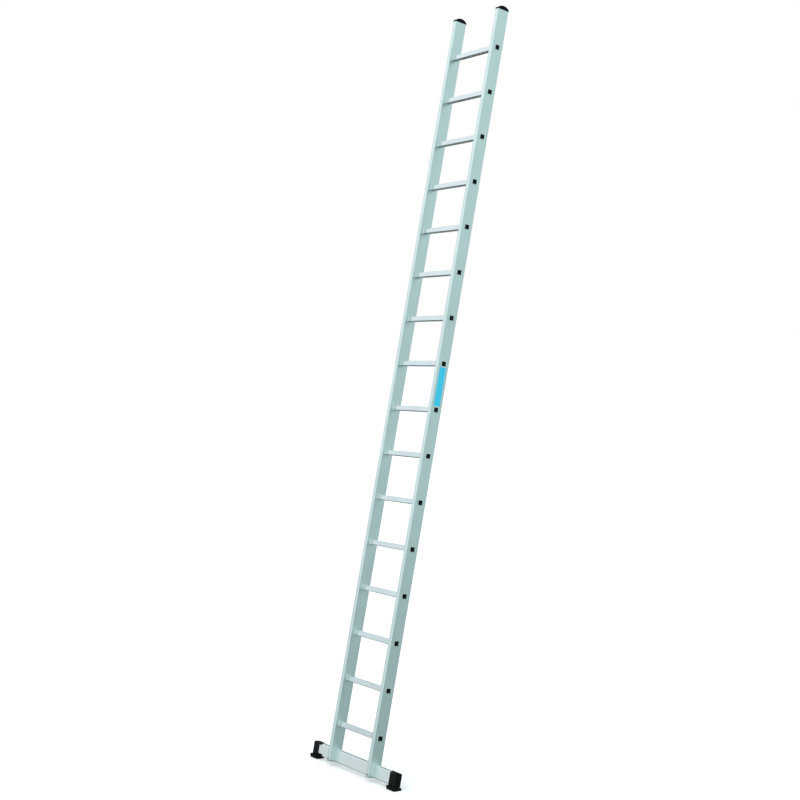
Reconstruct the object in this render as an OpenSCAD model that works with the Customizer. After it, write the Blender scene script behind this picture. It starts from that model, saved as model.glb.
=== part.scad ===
// Single-section leaning rung ladder with a stabiliser crossbar at its foot.
// It is drawn upright in its own plane (X along the rungs, Y from the climbing
// face to the back, Z up the stiles, zero at the middle of the first rung), and
// lean() then sets it on the floor at its working angle.

/* [Ladder] */
// Angle between the stiles and the floor, in degrees
lean_angle = 78; // [65:1:85]
// Width over the outer faces of the two stiles
outer_w = 480; // [350:5:700]
// Number of rungs
rung_count = 16; // [3:1:20]
// Distance between the middles of neighbouring rungs
rung_pitch = 280; // [230:5:340]
// Height of the stiles above the middle of the top rung
top_reach = 235; // [60:5:320]
// Drop from the middle of the first rung to the crossbar's top
first_drop = 157; // [60:1:260]

/* [Stiles] */
// Width of a stile's narrow climbing face
stile_w = 30; // [22:1:44]
// Depth of a stile, front to back
stile_d = 80; // [70:1:110]
// Wall of the stile tube
stile_wall = 2; // [1.4:0.1:3]
// Outer corner radius of the stile tube
stile_r = 5; // [3:0.5:8]

/* [Rungs] */
// Rung size, up the ladder
rung_h = 30; // [24:1:40]
// Rung size, front to back
rung_d = 30; // [24:1:40]
// Wall of the rung tube
rung_wall = 1.6; // [1.2:0.1:2.4]
// Outer corner radius of the rung tube
rung_r = 3; // [3:0.5:7]
// Width of one grip groove in a tread
groove_w = 1.8; // [1:0.1:2.4]
// Depth of one grip groove
groove_depth = 0.6; // [0.3:0.1:0.8]
// Number of grip grooves in a tread
groove_count = 5; // [1:1:5]
// Height of the formed bead that seats against a stile's inner face
bead_rise = 2.4; // [1:0.1:3]
// Length of that bead along the rung
bead_l = 4.5; // [2:0.5:8]
// Width of the rolled flange round the rung end, outside the stile
flange_rise = 2.6; // [1:0.1:4]
// Thickness of that flange
flange_t = 1.5; // [0.8:0.1:3]

/* [Rung end plugs] */
// Depth of the plug inside the rung
plug_depth = 14; // [6:1:24]
// Wall of the plug
plug_wall = 1.6; // [1:0.1:3]
// Thickness of the plug's head outside the rung end
plug_head = 1.2; // [0.6:0.1:3]
// How far the head laps over the rung's end face
plug_lap = 0.6; // [0.2:0.1:1.2]
// Height of the raised middle of the head
plug_crown = 0.7; // [0.2:0.1:1.5]

/* [Crossbar] */
// Reach of the crossbar tube past each stile
bar_reach = 228; // [150:2:360]
// Height of the crossbar tube
bar_h = 74; // [60:1:90]
// Depth of the crossbar tube, front to back
bar_d = 38; // [26:1:40]
// Wall of the crossbar tube
bar_wall = 2.5; // [1.5:0.1:4]
// Outer corner radius of the crossbar tube
bar_r = 5; // [3:0.5:7]
// Setback of the crossbar behind the stiles' climbing face
bar_setback = 36; // [26:1:38]
// How far the stiles end above the crossbar's bottom
lip_gap = 3; // [2.5:0.5:8]

/* [Feet] */
// Length of crossbar held in a foot shell
shell_l = 58; // [40:1:90]
// Wall of the foot shell
shell_wall = 3; // [2:0.1:4]
// Length of the shell's upper tongue past the shell
upper_tongue_l = 28; // [10:1:40]
// Length of the shell's lower tongue past the shell
lower_tongue_l = 48; // [10:1:60]
// Reach of the sole pad past the end of the foot shell
sole_reach = 16; // [0:1:24]
// Width of the sole pad, along the crossbar
sole_w = 88; // [70:1:120]
// Depth of the sole pad, front to back
sole_d = 54; // [48:1:70]
// Drop from the crossbar's bottom to the floor, at the middle of the crossbar
sole_drop = 21; // [16:1:34]
// Radius of the sole pad's lower edges
sole_edge_r = 7; // [3:0.5:10]

/* [Top caps] */
// Rise of the domed cap above the stile
cap_rise = 18.5; // [8:0.5:34]
// Overhang of the cap past the stile faces
cap_lap = 1; // [0:0.1:1.5]
// Thickness of the cap's straight rim, under the dome
cap_rim = 7; // [1:0.5:10]
// Depth of the cap's insert inside the stile
cap_depth = 30; // [12:1:40]
// Wall of the cap's insert
cap_wall = 2; // [1.2:0.1:4]

/* [Crossbar fixings] */
// Thread diameter of the crossbar bolts
bolt_d = 6; // [5:1:8]
// Drop from the crossbar's mid height to the bolts
bolt_drop = 22; // [0:1:24]

/* [Label] */
// Length of the label, up the stile
label_l = 236; // [80:2:240]
// Width of the label
label_w = 46; // [20:1:50]
// Thickness of the label
label_t = 0.3; // [0.2:0.1:0.6]

/* [Fits] */
// Gap between a formed rung and its hole in the stile
rung_gap = 0.1; // [0.05:0.05:0.3]
// Gap round moulded inserts
insert_gap = 0.15; // [0.1:0.05:0.4]
// Gap round the crossbar in its notch and in the foot shells
bar_gap = 0.2; // [0.1:0.05:0.5]
// Gap round a bolt in its holes
bolt_gap = 0.3; // [0.1:0.05:0.6]

/* [Hidden] */
$fn = 48;
eps = 0.01;

// places up the stile, measured from the middle of the first rung
bar_top = -first_drop;
bar_mid = bar_top - bar_h / 2;
bar_bottom = bar_top - bar_h;
stile_bottom = bar_bottom + lip_gap;
stile_top = (rung_count - 1) * rung_pitch + top_reach;
bolt_z = bar_mid - bolt_drop;
floor_z = bar_bottom - sole_drop;

// places across and through the ladder
stile_x = (outer_w - stile_w) / 2;
bar_l = outer_w + 2 * bar_reach;
bar_y = bar_setback + bar_d / 2;
rung_y = stile_d / 2;
shell_x = bar_l / 2 - shell_l;
sole_x = bar_l / 2 + shell_wall + sole_reach - sole_w / 2;

// hollow sizes
stile_hole_w = stile_w - 2 * stile_wall;
stile_hole_d = stile_d - 2 * stile_wall;
rung_hole_d = rung_d - 2 * rung_wall;
rung_hole_h = rung_h - 2 * rung_wall;

// bolt set
head_af = 1.6667 * bolt_d;
head_h = 0.7 * bolt_d;
nut_h = 0.85 * bolt_d;
washer_d = 2 * bolt_d;
washer_t = 1.2;
bolt_tail = 3;

// foot details
tongue_top_h = 8;
tongue_low_h = 14;
rib_count = 4;
rib_w = 3;
rib_rise = 0.8;
peg_d = 9;
peg_reach = 18;
tread_count = 5;
tread_w = 4;
tread_depth = 3;

// plug details
plug_base_gap = 0.5;
crown_inset = 1.5;

// reach of the leaning ladder along the floor, to centre it on the origin
tilt = 90 - lean_angle;
function lean_y(y, z) = cos(tilt) * y + sin(tilt) * z;
function lean_z(y, z) = cos(tilt) * z - sin(tilt) * y;
bolt_front = lean_y(-washer_t - head_h, bolt_z - head_af / 2);
plug_front = lean_y(0, bar_bottom + plug_base_gap);
sole_front = lean_y(bar_y, floor_z) - sole_d / 2;
front_reach = min(bolt_front, plug_front, sole_front);
back_reach = lean_y(stile_d + cap_lap, stile_top + cap_rim);
y_shift = -(front_reach + back_reach) / 2;
z_shift = -lean_z(bar_y, floor_z);

function two(i) = str(i < 10 ? "0" : "", i);
function rung_name(i) = str("rung_", two(i));
function plugs_name(i) = str("rung_plugs_", two(i));
SIDES = [["left", -1], ["right", 1]];

// ---------- shared shapes ----------

module rounded_rect(w, h, r) {
    square([w - 2 * r, h], center = true);
    square([w, h - 2 * r], center = true);
    for (x = [-1, 1], y = [-1, 1])
        translate([x * (w / 2 - r), y * (h / 2 - r)]) circle(r);
}

// Extrudes a profile drawn as (front to back, up) along the rungs' direction.
module along_x(from, to) {
    translate([from, 0, 0]) rotate([90, 0, 90]) linear_extrude(to - from) children();
}

// Extrudes a profile drawn as (across, up) from front to back.
module along_y(from, to) {
    translate([0, to, 0]) rotate([90, 0, 0]) linear_extrude(to - from) children();
}

module both_sides() {
    children();
    mirror([1, 0, 0]) children();
}

// Sets the upright ladder at its working angle, on the floor.
module lean() {
    translate([0, y_shift, z_shift]) rotate([-tilt, 0, 0]) children();
}

// Places children whose Z is true vertical and whose origin is on the floor,
// under the middle of the crossbar.
module on_floor() {
    translate([0, bar_y, floor_z]) rotate([tilt, 0, 0]) children();
}

module stile_section(grow) {
    translate([0, stile_d / 2])
        rounded_rect(stile_w + 2 * grow, stile_d + 2 * grow, stile_r + grow);
}

module stile_cavity(gap) {
    r = max(stile_r - stile_wall, 1);
    translate([0, stile_d / 2])
        rounded_rect(stile_hole_w - 2 * gap, stile_hole_d - 2 * gap, r);
}

// ---------- frame ----------

module stile(side) {
    color("lightsteelblue") lean() translate([side * stile_x, 0, 0]) difference() {
        translate([0, 0, stile_bottom]) linear_extrude(stile_top - stile_bottom)
            difference() {
                stile_section(0);
                stile_cavity(0);
            }
        for (i = [0:rung_count - 1]) translate([0, rung_y, i * rung_pitch])
            along_x(-stile_w, stile_w)
                rounded_rect(rung_d + 2 * rung_gap, rung_h + 2 * rung_gap, rung_r + rung_gap);
        bar_notch();
        translate([0, 0, bolt_z]) along_y(-stile_d, 2 * stile_d) circle(d = bolt_d + 2 * bolt_gap);
    }
}

// The crossbar seats against the notch's top and front; the gap is behind it.
module bar_notch() {
    notch_h = bar_top - stile_bottom + 1;
    translate([-stile_w, bar_setback, bar_top - notch_h])
        cube([2 * stile_w, bar_d + bar_gap, notch_h]);
}

module rung_section() {
    difference() {
        rounded_rect(rung_d, rung_h, rung_r);
        pitch = (rung_d - 2 * rung_r) / groove_count;
        for (k = [0:groove_count - 1], face = [-1, 1])
            translate([(k - (groove_count - 1) / 2) * pitch, face * rung_h / 2])
                square([groove_w, 2 * groove_depth], center = true);
    }
}

// A formed collar round the rung, higher in the middle than at its two ends.
module rung_bead(from) {
    step = bead_l / 3;
    for (k = [0:2]) {
        rise = k == 1 ? bead_rise : 0.6 * bead_rise;
        along_x(from + k * step, from + (k + 1) * step)
            rounded_rect(rung_d + 2 * rise, rung_h + 2 * rise, rung_r + rise);
    }
}

module rung_body() {
    difference() {
        union() {
            along_x(-outer_w / 2, outer_w / 2) rung_section();
            both_sides() {
                rung_bead(outer_w / 2 - stile_w - bead_l);
                along_x(outer_w / 2, outer_w / 2 + flange_t)
                    rounded_rect(rung_d + 2 * flange_rise, rung_h + 2 * flange_rise,
                        rung_r + flange_rise);
            }
        }
        along_x(-outer_w, outer_w)
            rounded_rect(rung_hole_d, rung_hole_h, max(rung_r - rung_wall, 1));
    }
}

module rung(i) {
    color("gainsboro") lean() translate([0, rung_y, (i - 1) * rung_pitch]) rung_body();
}

module crossbar() {
    color("silver") lean() translate([0, bar_y, bar_mid]) difference() {
        along_x(-bar_l / 2, bar_l / 2) difference() {
            rounded_rect(bar_d, bar_h, bar_r);
            rounded_rect(bar_d - 2 * bar_wall, bar_h - 2 * bar_wall, max(bar_r - bar_wall, 1));
        }
        both_sides() translate([stile_x, 0, -bolt_drop])
            along_y(-bar_d, bar_d) circle(d = bolt_d + 2 * bolt_gap);
    }
}

// ---------- moulded parts ----------

// A cupped insert with a head that covers the rung's end.
module rung_plug() {
    hole_r = max(rung_r - rung_wall, 1);
    end = outer_w / 2 + flange_t;
    shank_d = rung_hole_d - 2 * insert_gap;
    shank_h = rung_hole_h - 2 * insert_gap;
    along_x(end, end + plug_head)
        rounded_rect(rung_hole_d + 2 * plug_lap, rung_hole_h + 2 * plug_lap, hole_r + plug_lap);
    along_x(end + plug_head, end + plug_head + plug_crown)
        rounded_rect(rung_hole_d - 2 * crown_inset, rung_hole_h - 2 * crown_inset, hole_r);
    along_x(end - plug_depth, end) difference() {
        rounded_rect(shank_d, shank_h, hole_r);
        rounded_rect(shank_d - 2 * plug_wall, shank_h - 2 * plug_wall, max(hole_r - plug_wall, 1));
    }
}

module rung_plugs(i) {
    color("darkslategray") lean() translate([0, rung_y, (i - 1) * rung_pitch])
        both_sides() rung_plug();
}

// A dome that is a circular arc from the front to the back, over a short rim.
module top_cap(side) {
    half = stile_d / 2 + cap_lap;
    dome_r = (half * half + cap_rise * cap_rise) / (2 * cap_rise);
    color("darkslategray") lean() translate([side * stile_x, 0, stile_top]) {
        intersection() {
            linear_extrude(cap_rim + cap_rise) stile_section(cap_lap);
            along_x(-stile_w, stile_w) {
                translate([-cap_lap, 0]) square([2 * half, cap_rim]);
                translate([stile_d / 2, cap_rim]) intersection() {
                    translate([0, cap_rise - dome_r]) circle(dome_r, $fn = 96);
                    translate([-half, 0]) square([2 * half, cap_rise]);
                }
            }
        }
        translate([0, 0, -cap_depth]) linear_extrude(cap_depth) difference() {
            stile_cavity(insert_gap);
            stile_cavity(insert_gap + cap_wall);
        }
    }
}

// Fills the front lip of the notched stile end, so that the bolt can't crush it.
module stile_end_plug(side) {
    base_t = lip_gap - plug_base_gap;
    front = bar_setback - bar_gap;
    color("darkslategray") lean() translate([side * stile_x, 0, stile_bottom]) difference() {
        union() {
            translate([0, 0, -base_t]) linear_extrude(base_t) lip_part(front) stile_section(0);
            linear_extrude(bar_top - stile_bottom - bar_gap)
                lip_part(front) stile_cavity(insert_gap);
        }
        translate([0, 0, bolt_z - stile_bottom])
            along_y(-stile_d, stile_d) circle(d = bolt_d + 2 * bolt_gap);
    }
}

module lip_part(depth) {
    intersection() {
        children();
        translate([-stile_w, -stile_d]) square([2 * stile_w, stile_d + depth]);
    }
}

// ---------- feet ----------

module shell_section(grow) {
    rounded_rect(bar_d + 2 * grow, bar_h + 2 * grow, bar_r + grow);
}

// The two tongues grip one face of the crossbar: the front on the left foot,
// and the back on the right foot.
module foot_shell(side) {
    grow = shell_wall + bar_gap;
    color("dimgray") lean() mirror([side < 0 ? 1 : 0, 0, 0])
        translate([0, bar_y, bar_mid]) difference() {
            union() {
                along_x(shell_x, bar_l / 2 + shell_wall) shell_section(grow);
                along_x(shell_x - upper_tongue_l, shell_x)
                    tongue_part(side, bar_h / 2 - tongue_top_h) shell_section(grow);
                along_x(shell_x - lower_tongue_l, shell_x)
                    mirror([0, 1])
                        tongue_part(side, bar_h / 2 - tongue_low_h) shell_section(grow);
                shell_ribs(grow);
            }
            along_x(shell_x - bar_l / 4, bar_l / 2) shell_section(bar_gap);
            sole_pegs(bolt_gap);
        }
}

// Keeps the strip above a height, on the face that the tongues grip.
module tongue_part(side, above) {
    intersection() {
        children();
        translate([side < 0 ? -bar_d : 0, above]) square([bar_d, bar_h]);
    }
}

// Shallow upright ribs on the shell's front and back.
module shell_ribs(grow) {
    rib_pitch = shell_l / (rib_count + 1);
    for (k = [1:rib_count], face = [-1, 1])
        translate([shell_x + k * rib_pitch, face * (bar_d / 2 + grow), 0])
            cube([rib_w, 2 * rib_rise, bar_h - 2 * bar_r], center = true);
}

// Two pegs under the shell, in the shell's own place, that hold the sole pad.
module sole_pegs(gap) {
    for (k = [-1, 1])
        translate([shell_x + shell_l / 2 + k * peg_reach, 0, -bar_h / 2 - bar_gap - shell_wall - eps])
            cylinder(d = peg_d + 2 * gap, h = shell_wall + 2 * eps);
}

// A pad whose bottom lies flat on the floor and whose top follows the shell.
module sole_pad(side) {
    shell_bottom = bar_bottom - bar_gap - shell_wall;
    color("black") lean() mirror([side < 0 ? 1 : 0, 0, 0]) {
        difference() {
            on_floor() translate([sole_x, 0, 0]) sole_block();
            translate([0, bar_y - 2 * sole_d, shell_bottom])
                cube([bar_l, 4 * sole_d, 4 * sole_drop]);
        }
        translate([0, bar_y, bar_mid]) sole_pegs(0);
    }
}

module sole_block() {
    block_h = 3 * sole_drop;
    difference() {
        intersection() {
            linear_extrude(block_h) rounded_rect(sole_w, sole_d, sole_edge_r);
            along_y(-sole_d, sole_d) translate([0, block_h / 2])
                rounded_rect(sole_w, block_h, sole_edge_r);
        }
        pitch = (sole_w - 2 * sole_edge_r) / tread_count;
        for (k = [1:tread_count - 1])
            translate([k * pitch - (sole_w - 2 * sole_edge_r) / 2, 0, 0])
                cube([tread_w, 2 * sole_d, 2 * tread_depth], center = true);
    }
}

// ---------- fixings and label ----------

module at_bolts() {
    for (side = [-1, 1]) translate([side * stile_x, 0, bolt_z]) children();
}

module crossbar_bolts() {
    color("gray") lean() at_bolts() {
        along_y(-washer_t - head_h, -washer_t) circle(d = head_af / cos(30), $fn = 6);
        along_y(-washer_t - eps, stile_d + washer_t + nut_h + bolt_tail) circle(d = bolt_d);
    }
}

module crossbar_washers() {
    color("silver") lean() at_bolts()
        for (from = [-washer_t, stile_d]) along_y(from, from + washer_t) difference() {
            circle(d = washer_d);
            circle(d = bolt_d + 2 * bolt_gap);
        }
}

module crossbar_nuts() {
    start = stile_d + washer_t;
    color("gray") lean() at_bolts() along_y(start, start + nut_h) difference() {
        circle(d = head_af / cos(30), $fn = 6);
        circle(d = bolt_d + 0.1);
    }
}

module label() {
    bay = floor(rung_count / 2);
    middle = (bay - 0.5) * rung_pitch;
    color("deepskyblue") lean() translate([0, stile_d / 2, middle])
        along_x(outer_w / 2, outer_w / 2 + label_t) rounded_rect(label_w, label_l, 3);
}

crossbar();
for (i = [1:rung_count]) rung(i);
for (i = [1:rung_count]) rung_plugs(i);
for (s = SIDES) {
    stile(s[1]);
    top_cap(s[1]);
    stile_end_plug(s[1]);
    foot_shell(s[1]);
    sole_pad(s[1]);
}
crossbar_bolts();
crossbar_washers();
crossbar_nuts();
label();
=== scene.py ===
"""A leaning rung ladder on a stabiliser crossbar: its visible pieces, finishes and studio."""

import math

import bmesh
import bpy
from bpy.props import (
    FloatProperty,
    FloatVectorProperty,
    IntProperty,
    PointerProperty,
)
from bpy.types import Operator, Panel, PropertyGroup
from mathutils import Matrix, Vector


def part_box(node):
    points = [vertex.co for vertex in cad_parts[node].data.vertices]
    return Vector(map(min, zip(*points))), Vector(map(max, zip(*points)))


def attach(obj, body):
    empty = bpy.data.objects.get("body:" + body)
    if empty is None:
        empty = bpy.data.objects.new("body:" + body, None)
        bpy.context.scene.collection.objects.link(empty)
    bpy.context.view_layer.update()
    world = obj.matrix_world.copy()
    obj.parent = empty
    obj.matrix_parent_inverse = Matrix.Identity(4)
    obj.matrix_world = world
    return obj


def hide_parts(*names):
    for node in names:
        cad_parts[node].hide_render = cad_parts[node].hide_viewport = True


bl_info = {
    "name": "Leaning Rung Ladder",
    "version": (1, 0, 0),
    "blender": (4, 5, 0),
    "location": "3D View > Sidebar > Ladder",
    "description": "Builds a leaning rung ladder around its packed frame",
    "category": "Add Mesh",
}

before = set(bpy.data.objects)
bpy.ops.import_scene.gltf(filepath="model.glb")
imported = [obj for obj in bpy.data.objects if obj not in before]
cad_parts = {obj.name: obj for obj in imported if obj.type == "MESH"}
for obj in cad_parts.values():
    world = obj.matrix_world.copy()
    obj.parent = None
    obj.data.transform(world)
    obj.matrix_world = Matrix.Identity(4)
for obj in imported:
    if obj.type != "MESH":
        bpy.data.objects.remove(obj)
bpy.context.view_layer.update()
BODY = "root"
MM = 0.001
SIDES = (("left", -1), ("right", 1))


# ---------- places, from the frame ----------


def middle(node):
    low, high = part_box(node)
    return (low + high) / 2


RUNGS = sorted(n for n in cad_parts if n.startswith("rung_") and "plugs" not in n)
ROW = middle(RUNGS[-1]) - middle(RUNGS[0])
PITCH = ROW.length / (len(RUNGS) - 1)
TILT = math.atan2(ROW.y, ROW.z)
# The ladder's own frame: zero in the middle of the first rung, X along the rungs,
# Y from the climbing face to the back, Z up the stiles.
TO_ROW = Matrix.Translation(middle("rung_01")) @ Matrix.Rotation(-TILT, 4, "X")
TO_LADDER = TO_ROW.inverted()
# A section drawn as (front to back, up) and drawn out along Z turns to run along X.
ALONG_X = Matrix(((0, 0, 1, 0), (1, 0, 0, 0), (0, 1, 0, 0), (0, 0, 0, 1)))
# A shape along Z turns to run along Y, with its top towards the climbing face.
TO_FRONT = Matrix.Rotation(math.radians(90), 4, "X")


class Box:
    """A CAD node's box in the ladder's own frame."""

    def __init__(self, node):
        points = [TO_LADDER @ v.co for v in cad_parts[node].data.vertices]
        self.low = Vector(min(p[i] for p in points) for i in range(3))
        self.high = Vector(max(p[i] for p in points) for i in range(3))
        self.size = self.high - self.low
        self.middle = (self.low + self.high) / 2


STILE = Box("stile_right")
BAR = Box("crossbar")


# ---------- settings ----------


class LadderSizes(PropertyGroup):
    stile_wall: FloatProperty(
        name="Stile wall", description="Wall of the stile tube",
        default=2 * MM, min=1 * MM, max=4 * MM, unit="LENGTH")
    stile_radius: FloatProperty(
        name="Stile radius", description="Outer corner radius of the stile tube",
        default=5 * MM, min=2 * MM, max=9 * MM, unit="LENGTH")
    rung_size: FloatProperty(
        name="Rung size", description="Side of the square rung tube",
        default=30 * MM, min=24 * MM, max=40 * MM, unit="LENGTH")
    rung_wall: FloatProperty(
        name="Rung wall", description="Wall of the rung tube",
        default=1.6 * MM, min=1 * MM, max=3 * MM, unit="LENGTH")
    rung_radius: FloatProperty(
        name="Rung radius", description="Outer corner radius of the rung tube",
        default=3 * MM, min=2 * MM, max=8 * MM, unit="LENGTH")
    groove_count: IntProperty(
        name="Grooves", description="Number of grip grooves in a tread",
        default=5, min=1, max=5)
    groove_width: FloatProperty(
        name="Groove width", description="Width of one grip groove",
        default=1.8 * MM, min=1 * MM, max=2.4 * MM, unit="LENGTH")
    groove_depth: FloatProperty(
        name="Groove depth", description="Depth of one grip groove",
        default=0.6 * MM, min=0.2 * MM, max=1 * MM, unit="LENGTH")
    bead_rise: FloatProperty(
        name="Bead rise", description="Height of the formed bead on a rung",
        default=2.4 * MM, min=1 * MM, max=4 * MM, unit="LENGTH")
    bead_length: FloatProperty(
        name="Bead length", description="Length of the formed bead along a rung",
        default=4.5 * MM, min=2 * MM, max=9 * MM, unit="LENGTH")
    flange_thickness: FloatProperty(
        name="Flange thickness", description="Thickness of the rolled flange",
        default=1.5 * MM, min=0.8 * MM, max=3 * MM, unit="LENGTH")
    bar_wall: FloatProperty(
        name="Crossbar wall", description="Wall of the crossbar tube",
        default=2.5 * MM, min=1.5 * MM, max=4 * MM, unit="LENGTH")
    bar_radius: FloatProperty(
        name="Crossbar radius", description="Outer corner radius of the crossbar tube",
        default=5 * MM, min=2 * MM, max=8 * MM, unit="LENGTH")
    shell_wall: FloatProperty(
        name="Shell wall", description="Wall of a foot shell",
        default=3 * MM, min=2 * MM, max=5 * MM, unit="LENGTH")
    soft_edge: FloatProperty(
        name="Soft edge", description="Rounding on the edges of moulded pieces",
        default=1.2 * MM, min=0.3 * MM, max=3 * MM, unit="LENGTH")
    cap_rim: FloatProperty(
        name="Cap rim", description="Height of a top cap's straight rim",
        default=7 * MM, min=1 * MM, max=12 * MM, unit="LENGTH")
    corner_steps: IntProperty(
        name="Corner steps", description="Faces round one tube corner",
        default=8, min=3, max=16)


class LadderFinishes(PropertyGroup):
    stile_colour: FloatVectorProperty(
        name="Stile colour", description="Anodised aluminium of the stiles",
        subtype="COLOR", default=(0.71, 0.83, 0.825), min=0, max=1)
    rung_colour: FloatVectorProperty(
        name="Rung colour", description="Anodised aluminium of the rungs",
        subtype="COLOR", default=(0.71, 0.80, 0.815), min=0, max=1)
    bar_colour: FloatVectorProperty(
        name="Crossbar colour", description="Anodised aluminium of the crossbar",
        subtype="COLOR", default=(0.88, 0.97, 0.97), min=0, max=1)
    plastic_colour: FloatVectorProperty(
        name="Plastic colour", description="Black moulded caps, plugs and shells",
        subtype="COLOR", default=(0.003, 0.005, 0.0045), min=0, max=1)
    rubber_colour: FloatVectorProperty(
        name="Rubber colour", description="Black rubber of the soles",
        subtype="COLOR", default=(0.004, 0.006, 0.0055), min=0, max=1)
    steel_colour: FloatVectorProperty(
        name="Steel colour", description="Zinc plated bolts, washers and nuts",
        subtype="COLOR", default=(0.42, 0.44, 0.45), min=0, max=1)
    label_colour: FloatVectorProperty(
        name="Label colour", description="Printed film of the label",
        subtype="COLOR", default=(0.03, 0.78, 1.0), min=0, max=1)


class LadderStudio(PropertyGroup):
    camera_place: FloatVectorProperty(
        name="Camera place", description="Where the camera stands",
        subtype="TRANSLATION", unit="LENGTH", default=(8.1723, -5.3693, 2.5426))
    camera_turn: FloatProperty(
        name="Camera turn", description="Turn of the view from straight ahead",
        subtype="ANGLE", default=math.radians(57.33))
    camera_pitch: FloatProperty(
        name="Camera pitch", description="Tilt of the view above the level",
        subtype="ANGLE", default=math.radians(-1.887))
    camera_roll: FloatProperty(
        name="Camera roll", description="Roll of the camera about its view",
        subtype="ANGLE", default=math.radians(-0.404))
    lens: FloatProperty(
        name="Lens", description="Focal length of the camera",
        default=72.24, min=20, max=300, unit="CAMERA")
    sky_strength: FloatProperty(
        name="Sky strength", description="Strength of the soft light all round",
        default=1.15, min=0, max=10)
    front_light: FloatVectorProperty(
        name="Front light", description="Light from the climbing side",
        subtype="COLOR", default=(1.36, 1.40, 1.42), min=0, max=3)
    back_light: FloatVectorProperty(
        name="Back light", description="Cooler light from behind and from the right",
        subtype="COLOR", default=(0.80, 0.985, 0.965), min=0, max=3)
    side_lift: FloatProperty(
        name="Side lift", description="How far the light on the right reaches down",
        default=0.2, min=0, max=1)
    floor_glow: FloatProperty(
        name="Floor glow", description="Light of the floor's own, which lifts its shadows",
        default=0.23, min=0, max=1)
    floor_colour: FloatVectorProperty(
        name="Floor colour", description="Pale studio floor",
        subtype="COLOR", default=(0.96, 0.95, 0.95), min=0, max=1)


# ---------- mesh tools ----------


def rounded_face(bm, width, depth, radius, steps):
    """A flat rounded rectangle round the origin. Returns its face."""
    corners = bmesh.ops.create_grid(bm, x_segments=1, y_segments=1, size=1)["verts"]
    for v in corners:
        v.co = (math.copysign(width / 2, v.co.x), math.copysign(depth / 2, v.co.y), 0)
    bmesh.ops.bevel(
        bm, geom=corners, offset=radius, offset_type="OFFSET", segments=steps,
        profile=0.5, affect="VERTICES", clamp_overlap=True, material=-1)
    return max(bm.faces, key=lambda f: f.calc_area())


def prism(bm, face, height):
    """Turns a flat face into a closed prism from Z = 0 to height."""
    made = bmesh.ops.extrude_face_region(bm, geom=[face])["geom"]
    verts = [g for g in made if isinstance(g, bmesh.types.BMVert)]
    bmesh.ops.translate(bm, verts=verts, vec=(0, 0, height))
    return [g for g in made if isinstance(g, bmesh.types.BMFace)][0]


def inset(bm, face, by):
    """Insets one flat face and returns the smaller face, which stays the same one."""
    bmesh.ops.inset_region(
        bm, faces=[face], thickness=by, use_boundary=True, use_even_offset=True)
    return face


def tube(bm, width, depth, radius, wall, length, steps):
    """A hollow tube from Z = 0 to length, closed to a solid wall at its ends."""
    core = inset(bm, rounded_face(bm, width, depth, radius, steps), wall)
    bmesh.ops.delete(bm, geom=[core], context="FACES_ONLY")
    draw_ends = bmesh.ops.extrude_face_region(bm, geom=bm.faces[:])["geom"]
    verts = [g for g in draw_ends if isinstance(g, bmesh.types.BMVert)]
    bmesh.ops.translate(bm, verts=verts, vec=(0, 0, length))


def split_at(bm, faces, point, normal):
    """Cuts faces along a plane without removing anything."""
    edges = {e for f in faces for e in f.edges}
    verts = {v for f in faces for v in f.verts}
    bmesh.ops.bisect_plane(
        bm, geom=[*faces, *edges, *verts], plane_co=point, plane_no=normal)


def keep_below(bm, point, normal):
    """Cuts the whole mesh along a plane, drops what is above it and closes the cut."""
    cut = bmesh.ops.bisect_plane(
        bm, geom=bm.verts[:] + bm.edges[:] + bm.faces[:],
        plane_co=point, plane_no=normal, clear_outer=True)["geom_cut"]
    rim = [g for g in cut if isinstance(g, bmesh.types.BMEdge)]
    bmesh.ops.holes_fill(bm, edges=rim, sides=0)


def creases(bm, angle):
    return [e for e in bm.edges if e.is_manifold and e.calc_face_angle() > angle]


def soften(bm, width, steps=3, angle=math.radians(40), where=None):
    """Rounds the sharp edges, or those of them that where() picks."""
    edges = [e for e in creases(bm, angle) if where is None or where(e)]
    bmesh.ops.bevel(
        bm, geom=edges, offset=width, offset_type="OFFSET", segments=steps,
        profile=0.5, affect="EDGES", clamp_overlap=True, material=-1)


def carve(bm, cutter):
    """Takes the closed shapes of cutter away from bm, and returns what is left."""
    for shape in (bm, cutter):
        bmesh.ops.recalc_face_normals(shape, faces=shape.faces[:])
    body, tool = loose_object("body", bm), loose_object("cutter", cutter)
    modifier = body.modifiers.new("carve", "BOOLEAN")
    modifier.operation = "DIFFERENCE"
    modifier.solver = "EXACT"
    modifier.object = tool
    result = bmesh.new()
    result.from_object(body, bpy.context.evaluated_depsgraph_get())
    if not result.faces:
        raise RuntimeError("carve: nothing is left of the shape")
    for spare in (body, tool):
        mesh = spare.data
        bpy.data.objects.remove(spare)
        bpy.data.meshes.remove(mesh)
    return result


def loose_object(name, bm):
    mesh = bpy.data.meshes.new(name)
    bm.to_mesh(mesh)
    bm.free()
    made = bpy.data.objects.new(name, mesh)
    bpy.context.scene.collection.objects.link(made)
    bpy.context.view_layer.update()
    return made


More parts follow.
